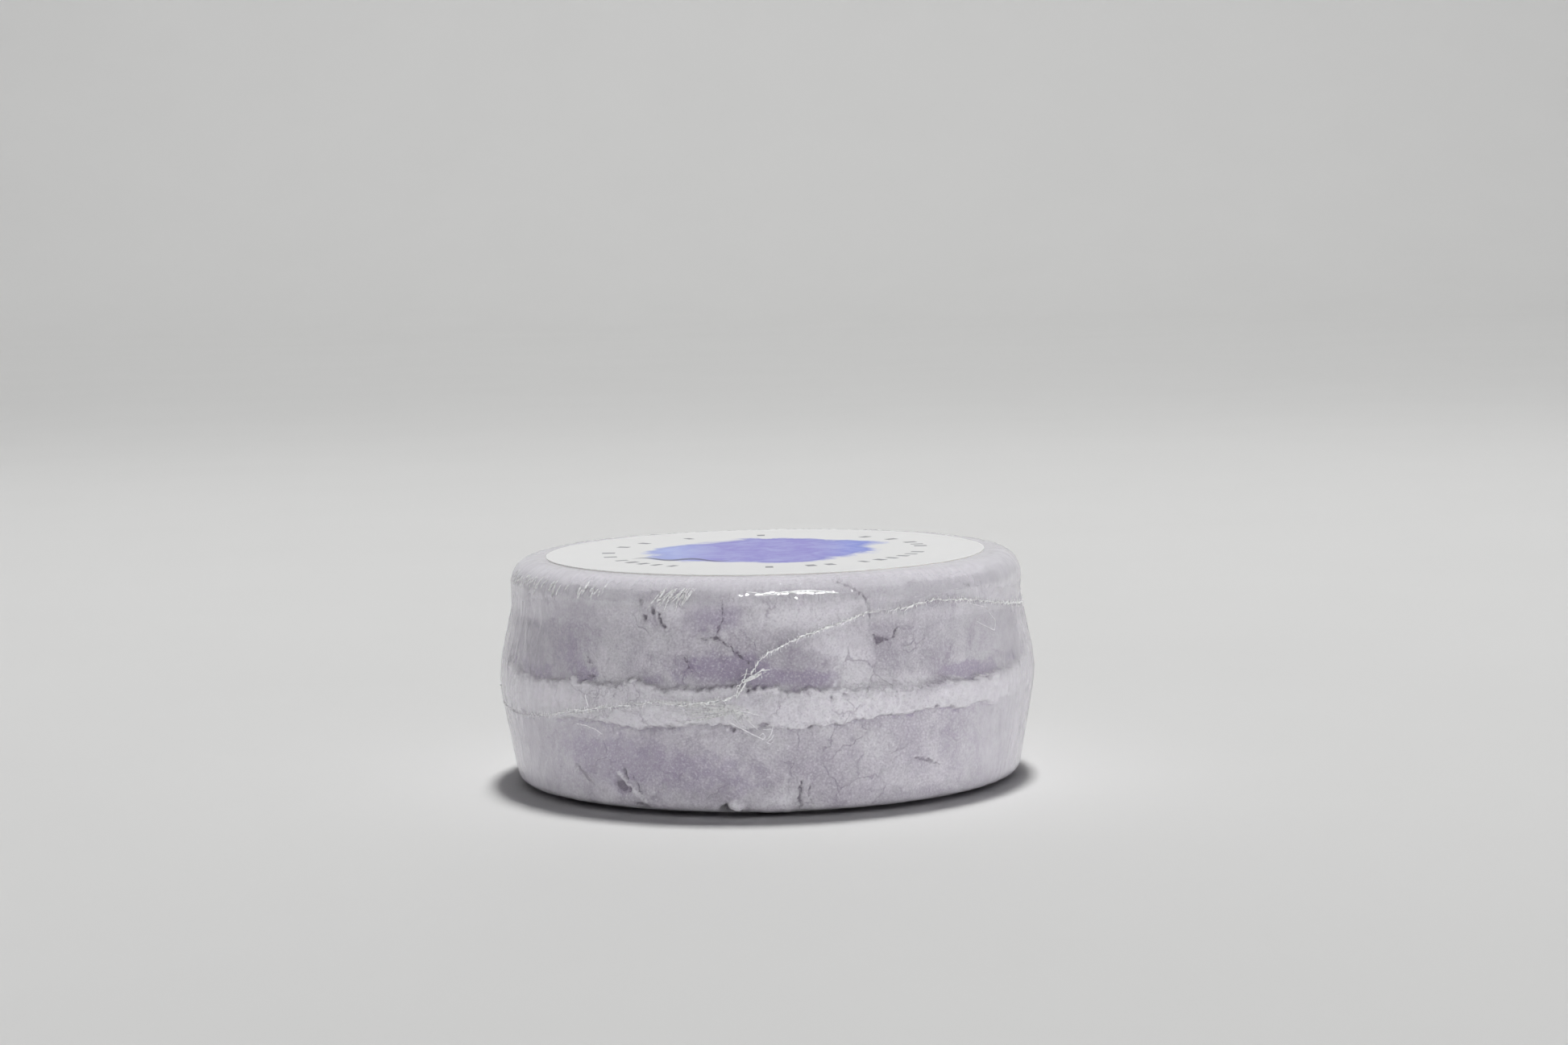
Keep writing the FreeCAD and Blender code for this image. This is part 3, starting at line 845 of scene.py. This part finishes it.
def times(tree, a, b):
    return maths(tree, "MULTIPLY", a, b)


def plus(tree, a, b):
    return maths(tree, "ADD", a, b)


def ranged(tree, value, low, high, to_low=0.0, to_high=1.0):
    """Moves a value from one range into another, smoothly, and clamps it."""
    inputs = {"Value": value, 1: low, 2: high, 3: to_low, 4: to_high}
    return node(tree, "MapRange", inputs, interpolation_type="SMOOTHSTEP").outputs[0]


def blend(tree, share, a, b):
    """A colour between two others."""
    inputs = {0: share, 6: a, 7: b}
    return node(tree, "Mix", inputs, data_type="RGBA").outputs[2]


def bump(tree, height, depth, normal=None):
    """A bumped normal. Depth is in millimetres for a height from 0 to 1."""
    inputs = {"Height": height, "Distance": depth * MM, "Strength": 1.0}
    if normal is not None:
        inputs["Normal"] = normal
    return node(tree, "Bump", inputs).outputs[0]


def finish_material(tree, inputs):
    shader = node(tree, "BsdfPrincipled", inputs)
    node(tree, "OutputMaterial", {"Surface": shader.outputs[0]})


def tint(red, green, blue):
    """A linear colour, opaque, from sRGB parts of 255."""
    parts = [v / 255 for v in (red, green, blue)]
    return (*[v / 12.92 if v <= 0.04045 else ((v + 0.055) / 1.055) ** 2.4 for v in parts], 1.0)


def flakes(tree, place):
    """Pressed flakes, each with a tone of its own, the seams between them, and small chips."""
    cloudy = {"Vector": place, "Scale": 1 / 1.6, "Detail": 4.0}
    bent = node(tree, "TexNoise", cloudy).outputs["Color"]
    bent = node(tree, "VectorMath", {0: bent, "Scale": 2.4}, operation="SCALE").outputs[0]
    bent = node(tree, "VectorMath", {0: place, 1: bent}, operation="ADD").outputs[0]
    large = {"Vector": bent, "Scale": 1 / 4.2}
    plates = node(tree, "TexVoronoi", large).outputs["Color"]
    plate = node(tree, "SeparateColor", {0: plates}).outputs[0]
    seams = node(tree, "TexVoronoi", large, feature="DISTANCE_TO_EDGE")
    seam = ranged(tree, seams.outputs["Distance"], 0.035, 0.0)
    seam = times(tree, seam, ranged(tree, grain(tree, place, 5.0, 2.0), 0.50, 0.62))
    chips = node(tree, "TexVoronoi", {"Vector": bent, "Scale": 1 / 0.9}).outputs["Color"]
    return plate, seam, node(tree, "SeparateColor", {0: chips}).outputs[0]


def soap_material():
    material, tree, place = new_material("pressed_soap")
    tone = node(tree, "Attribute", attribute_name="tone").outputs["Color"]
    inside = node(tree, "Attribute", attribute_name="inside").outputs["Color"]
    pale, purple_and_shade = node(tree, "SeparateColor", {0: tone}).outputs[:2]
    in_band, in_crack = node(tree, "SeparateColor", {0: inside}).outputs[:2]
    fringe = grain(tree, place, 0.45, 4.0, 0.65)
    ragged = grain(tree, place, 1.3, 5.0, 0.6, 0.4)

    def jagged(field, fray, reach, low, high):
        shift = times(tree, maths(tree, "SUBTRACT", fray, 0.5), reach)
        return ranged(tree, plus(tree, field, shift), low, high)

    band = jagged(in_band, fringe, 0.45, 0.475, 0.525)
    crack = jagged(in_crack, fringe, 0.32, 0.47, 0.55)
    pale = jagged(pale, ragged, 0.9, 0.15, 0.75)
    purple_and_shade = jagged(purple_and_shade, ragged, 1.1, 0.15, 0.70)

    plate, seam, chip = flakes(tree, place)
    broad = ranged(tree, grain(tree, place, 7.0, 5.0, 0.6, 0.8), 0.38, 0.64)
    veins = grain(tree, place, 2.2, 6.0, 0.65, 1.2)
    speckle = grain(tree, place, 0.24, 3.0, 0.7)
    colour = blend(tree, broad, tint(174, 168, 180), tint(208, 206, 211))
    layers = (
        (times(tree, plate, 0.30), (218, 216, 222)),
        (times(tree, chip, 0.16), (224, 222, 228)),
        (ranged(tree, veins, 0.50, 0.72, 0, 0.55), (158, 149, 165)),
        # The purple layer is partly the soap's mottling and partly painted shade, by the band and low
        # on the side.
        (times(tree, purple_and_shade, 0.62), (146, 131, 163)),
        # The pale layer holds painted light on the upper side and shoulder, as well as paler patches,
        # slivers and lumps.
        (times(tree, pale, 0.72), (236, 234, 239)),
        (times(tree, band, 0.70), (240, 238, 243)),
        (ranged(tree, speckle, 0.50, 0.70, 0, 0.50), (244, 243, 246)),
        (ranged(tree, speckle, 0.50, 0.30, 0, 0.44), (146, 135, 152)),
        (times(tree, seam, 0.40), (128, 114, 138)),
        # Painted shade: the inside of cracks, pits and chips is coloured dark.
        (times(tree, crack, 0.62), (98, 82, 106)),
    )
    for share, over in layers:
        colour = blend(tree, share, colour, tint(*over))

    normal = bump(tree, maths(tree, "SUBTRACT", band, crack), 0.12)
    normal = bump(tree, maths(tree, "SUBTRACT", plate, seam), 0.05, normal)
    normal = bump(tree, grain(tree, place, 0.35, 4.0, 0.65), 0.06, normal)
    finish_material(tree, {
        "Base Color": colour,
        "Roughness": ranged(tree, fringe, 0.3, 0.7, 0.5, 0.7),
        "Normal": normal,
        "Subsurface Weight": 0.45,
        "Subsurface Radius": (1.0, 0.9, 1.0),
        "Subsurface Scale": 2.2 * MM,
    })
    return material


def film_material():
    if "clear_film" in bpy.data.materials:
        return bpy.data.materials["clear_film"]
    material, tree, place = new_material("clear_film")
    haze = node(tree, "Attribute", attribute_name="haze").outputs["Fac"]
    # Partly painted sheen: towards grazing angles the film grows more opaque and whitish, in place of
    # reflected light.
    edge = node(tree, "LayerWeight", {"Blend": 0.5}).outputs["Facing"]
    edge = times(tree, maths(tree, "POWER", edge, 2.0), 0.7)
    film = plus(tree, times(tree, haze, 0.58), edge)
    smudge = ranged(tree, grain(tree, place, 4.0, 4.0, 0.6), 0.4, 0.7, 0.05, 0.12)
    alpha = plus(tree, film, smudge)
    crinkle = grain(tree, place, 1.1, 3.0, 0.55, 0.8)
    finish_material(tree, {
        "Base Color": blend(tree, haze, tint(212, 209, 216), tint(241, 240, 244)),
        "Roughness": ranged(tree, crinkle, 0.3, 0.7, 0.07, 0.15),
        "Normal": bump(tree, crinkle, 0.018),
        "Alpha": alpha,
        "IOR": 2.6,
    })
    return material


def weld_material(name, thin, thick):
    """Whitened film that was drawn out or melted: its opacity runs from thin to thick."""
    if name in bpy.data.materials:
        return bpy.data.materials[name]
    material, tree, place = new_material(name)
    knots = grain(tree, place, 0.3, 3.0, 0.6)
    finish_material(tree, {
        "Base Color": blend(tree, knots, tint(236, 236, 238), tint(253, 253, 253)),
        "Roughness": ranged(tree, knots, 0.3, 0.7, 0.20, 0.38),
        "Normal": bump(tree, knots, 0.03),
        "Alpha": ranged(tree, knots, 0.25, 0.6, thin, thick),
        "IOR": 2.0,
    })
    return material


def paper(tree, place):
    """Paper's colour, roughness and normal."""
    fibres = grain(tree, place, 0.25, 4.0, 0.7)
    clouds = grain(tree, place, 5.0, 2.0)
    colour = blend(tree, fibres, tint(229, 229, 229), tint(238, 238, 237))
    colour = blend(tree, times(tree, clouds, 0.3), colour, tint(224, 224, 225))
    return colour, ranged(tree, fibres, 0.3, 0.7, 0.55, 0.7), bump(tree, fibres, 0.012)


def polar(tree, place):
    """The radius and azimuth, in degrees, of a place, with its x and y."""
    parts = node(tree, "SeparateXYZ", {0: place}).outputs
    x, y = parts[0], parts[1]
    squares = plus(tree, times(tree, x, x), times(tree, y, y))
    radius = maths(tree, "SQRT", squares)
    turn = maths(tree, "ARCTAN2", x, times(tree, y, -1.0))
    return radius, times(tree, turn, TURN / (2 * math.pi)), x, y


def tick_ring(tree, radius, azimuth, ring, half_height, period, filled, gaps=0.0):
    """Printed ticks of uneven length round a ring, as 1 on a tick. Gaps is the share left out."""
    slot_number = maths(tree, "FLOOR", maths(tree, "DIVIDE", azimuth, period))
    spot = maths(tree, "FRACT", maths(tree, "DIVIDE", azimuth, period))
    seed = node(tree, "TexWhiteNoise", {"W": slot_number}, noise_dimensions="1D").outputs[0]
    reach = ranged(tree, seed, 0.0, 1.0, 0.35 * filled, filled)
    reach = times(tree, reach, maths(tree, "GREATER_THAN", seed, gaps))
    inside = maths(tree, "LESS_THAN", spot, reach)
    off_ring = maths(tree, "ABSOLUTE", maths(tree, "SUBTRACT", radius, ring))
    return times(tree, inside, maths(tree, "LESS_THAN", off_ring, half_height))


def top_label_material():
    """White paper with a watercolour splash, a wavy ornament and a ring of plain ticks."""
    material, tree, place = new_material("top_label_paper")
    colour, rough, normal = paper(tree, place)
    radius, azimuth, x, y = polar(tree, place)
    wash = grain(tree, place, 5.5, 5.0, 0.6, 0.5)
    lobes = grain(tree, place, 11.0, 1.0)
    shore = plus(tree, radius, times(tree, wash, 7.0))
    shore = plus(tree, shore, times(tree, lobes, 6.0))
    splash = ranged(tree, shore, 20.6, 18.6)
    rim = times(tree, splash, ranged(tree, shore, 17.2, 19.2))
    pigment = blend(tree, ranged(tree, x, -13.0, -4.0), tint(178, 190, 236), tint(152, 146, 212))
    pigment = blend(tree, ranged(tree, x, 5.0, 13.0), pigment, tint(138, 154, 226))
    pools = ranged(tree, grain(tree, place, 3.0, 4.0, 0.6, 1.0), 0.35, 0.7)
    pigment = blend(tree, times(tree, pools, 0.45), pigment, tint(196, 204, 236))
    pigment = blend(tree, times(tree, rim, 0.35), pigment, tint(120, 126, 200))
    colour = blend(tree, splash, colour, pigment)

    run = plus(tree, x, 9.6)
    slope = plus(tree, plus(tree, y, 8.3), times(tree, run, 0.36))
    wave = times(tree, maths(tree, "SINE", times(tree, run, 1.15)), 1.0)
    stroke = maths(tree, "ABSOLUTE", maths(tree, "SUBTRACT", slope, wave))
    pen = times(tree, times(tree, run, run), -0.026)
    swash = maths(tree, "LESS_THAN", stroke, plus(tree, pen, 0.85))
    ticks = tick_ring(tree, radius, azimuth, 18.2, 0.75, 7.2, 0.5, 0.45)
    ink = maths(tree, "MAXIMUM", swash, ticks)
    colour = blend(tree, times(tree, ink, 0.7), colour, tint(84, 84, 96))
    finish_material(tree, {"Base Color": colour, "Roughness": rough, "Normal": normal})
    return material


def base_label_material():
    """White paper with a thin printed border and rings of plain ticks."""
    material, tree, place = new_material("base_label_paper")
    colour, rough, normal = paper(tree, place)
    radius, azimuth = polar(tree, place)[:2]
    ink = tick_ring(tree, radius, azimuth, 21.6, 0.40, 7.2, 0.6)
    for ring, period in ((18.6, 9.0), (15.6, 10.0), (12.6, 12.0)):
        ink = maths(tree, "MAXIMUM", ink, tick_ring(tree, radius, azimuth, ring, 0.36, period, 0.7))
    border = maths(tree, "ABSOLUTE", maths(tree, "SUBTRACT", radius, 23.6))
    ink = maths(tree, "MAXIMUM", ink, maths(tree, "LESS_THAN", border, 0.16))
    middle = maths(tree, "ABSOLUTE", maths(tree, "SUBTRACT", radius, 5.2))
    ink = maths(tree, "MAXIMUM", ink, maths(tree, "LESS_THAN", middle, 0.5))
    colour = blend(tree, times(tree, ink, 0.65), colour, tint(96, 98, 132))
    finish_material(tree, {"Base Color": colour, "Roughness": rough, "Normal": normal})
    return material


def glue_material():
    material, tree, place = new_material("label_glue")
    beads = grain(tree, place, 0.8, 3.0, 0.6)
    finish_material(tree, {
        "Base Color": blend(tree, beads, tint(206, 203, 194), tint(224, 221, 212)),
        "Roughness": ranged(tree, beads, 0.3, 0.7, 0.3, 0.5),
        "Normal": bump(tree, beads, 0.01),
    })
    return material


def stage_material():
    material, tree, place = new_material("pale_stage")
    finish_material(tree, {
        "Base Color": blend(tree, grain(tree, place, 60.0), tint(224, 224, 223), tint(227, 227, 226)),
        "Roughness": 0.65,
        "Specular IOR Level": 0.1,
    })
    return material


# ---------------------------------------------------------------- stage, lights and camera
def build_stage():
    """A pale floor that sweeps up into a backdrop behind the puck."""
    near, far, bend, top, half_width = -900.0, 1500.0, 500.0, 1700.0, 2600.0
    turns = np.radians(np.linspace(-90, 0, 25))
    sweep = np.stack([far + bend * np.cos(turns), bend + bend * np.sin(turns)], -1)
    profile = np.concatenate([[[near, 0]], sweep, [[far + bend, top]]])
    widths = np.array([-half_width, half_width])
    grid = np.stack([
        np.broadcast_to(widths, (len(profile), 2)),
        np.repeat(profile[:, :1], 2, axis=1),
        np.repeat(profile[:, 1:], 2, axis=1),
    ], -1)
    stage = mesh_object("stage", grid.reshape(-1, 3), grid_faces(len(profile), 2, closed=False))
    stage.data.materials.append(stage_material())


def softbox(name, azimuth, elevation, distance, width, height, power, use="both"):
    """A lamp that faces the puck from a direction, in degrees and millimetres."""
    flat = distance * math.cos(math.radians(elevation))
    rise = distance * math.sin(math.radians(elevation))
    place = on_circle(azimuth, flat, rise)
    return place_lamp(name, place, (0, 0, BELT_MIDDLE), width, height, power, use)


def place_lamp(name, place, target, width, height, power, use="both"):
    """A rectangular lamp. Use "light" isn't mirrored in gloss, and "shine" is only mirrored."""
    lamp = bpy.data.lights.new(name, "AREA")
    lamp.shape = "RECTANGLE"
    lamp.size, lamp.size_y = width * MM, height * MM
    lamp.energy = power
    holder = bpy.data.objects.new(name, lamp)
    holder.location = Vector(place) * MM
    facing = Vector(target) * MM - holder.location
    holder.rotation_euler = facing.to_track_quat("-Z", "Y").to_euler()
    holder.visible_glossy = use != "light"
    holder.visible_diffuse = use != "shine"
    bpy.context.scene.collection.objects.link(holder)
    return holder


def build_lights():
    """The lamps. The returned ones only fill in the puck, which keeps the floor plain."""
    softbox("overhead", 162, 79, 1500, 230, 210, 18.0, "light")
    softbox("front_strip", 13, 41, 900, 420, 30, 7.0, "shine")
    softbox("ceiling_shine", 180, 76, 900, 2200, 1500, 7.0, "shine")
    backdrop = place_lamp("backdrop_lamp", (0, 900, 1500), (0, 1900, 500), 3000, 300, 7.9, "light")
    backdrop.data.spread = math.radians(110)
    high_fills = [softbox("left_high", -62, 32, 1000, 900, 500, 2.0, "light")]
    low_fills = [
        softbox(f"{side}_low", azimuth, elevation, 1000, 700, 100, power, "light")
        for side, azimuth, elevation, power in (
            ("front", 25, 3.4, 4.4), ("left", -84, 5.0, 2.2),
            ("right", 84, 5.0, 2.4), ("back", 180, 3.4, 4.0),
        )
    ]
    world = bpy.data.worlds.new("room")
    bpy.context.scene.world = world
    world.use_nodes = True
    background = world.node_tree.nodes["Background"]
    background.inputs["Color"].default_value = tint(236, 237, 240)
    background.inputs["Strength"].default_value = 0.03
    return high_fills, low_fills


def light_only(lamps, pieces):
    """Makes the lamps shine on these pieces and nothing else."""
    lit = bpy.data.collections.new(f"lit_by_{lamps[0].name}")
    for piece in pieces:
        lit.objects.link(piece)
    for lamp in lamps:
        lamp.light_linking.receiver_collection = lit


def build_camera():
    """A short telephoto a little above the puck. Its place, tilt and lens fit the photo's."""
    distance, height = 382.6, 65.0
    pitch, yaw, roll = 5.33, 0.34, -1.18
    lens = bpy.data.cameras.new("camera")
    lens.sensor_width = 36.0
    lens.lens = 76.04
    lens.clip_start = 0.01
    camera = bpy.data.objects.new("camera", lens)
    bpy.context.scene.collection.objects.link(camera)
    aim = Euler((math.radians(90 - pitch), 0, math.radians(-yaw))).to_matrix()
    turned = aim @ Matrix.Rotation(math.radians(roll), 3, "Z")
    camera.matrix_world = Matrix.Translation(Vector((0, -distance, height)) * MM) @ turned.to_4x4()
    bpy.context.scene.camera = camera


# ---------------------------------------------------------------- everything, in order
build_camera()
build_stage()
high_fills, low_fills = build_lights()
pieces = [
    build_soap(),
    build_web("film_upper", "film_upper_web", upper=True),
    build_web("film_lower", "film_lower_web", upper=False),
    build_weld(),
    build_creases(),
    build_veil(),
    build_ear("film_ear_front", 1.0),
    *(build_ear(f"film_ear_{side}", 0.3) for side in ("right", "back", "left")),
    build_label("top_label", "top_label_paper", top_label_material()),
    build_label("base_label", "base_label_paper", base_label_material()),
]
for piece in pieces:
    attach(piece, "root")
glue_nodes = [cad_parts[name] for name in ("top_label_glue", "base_label_glue")]
for glue in glue_nodes:
    glue.data.materials.clear()
    glue.data.materials.append(glue_material())
light_only(high_fills, [piece for piece in pieces if "label" not in piece.name])
light_only(low_fills, pieces + glue_nodes)
bpy.context.scene.view_settings.view_transform = "Standard"
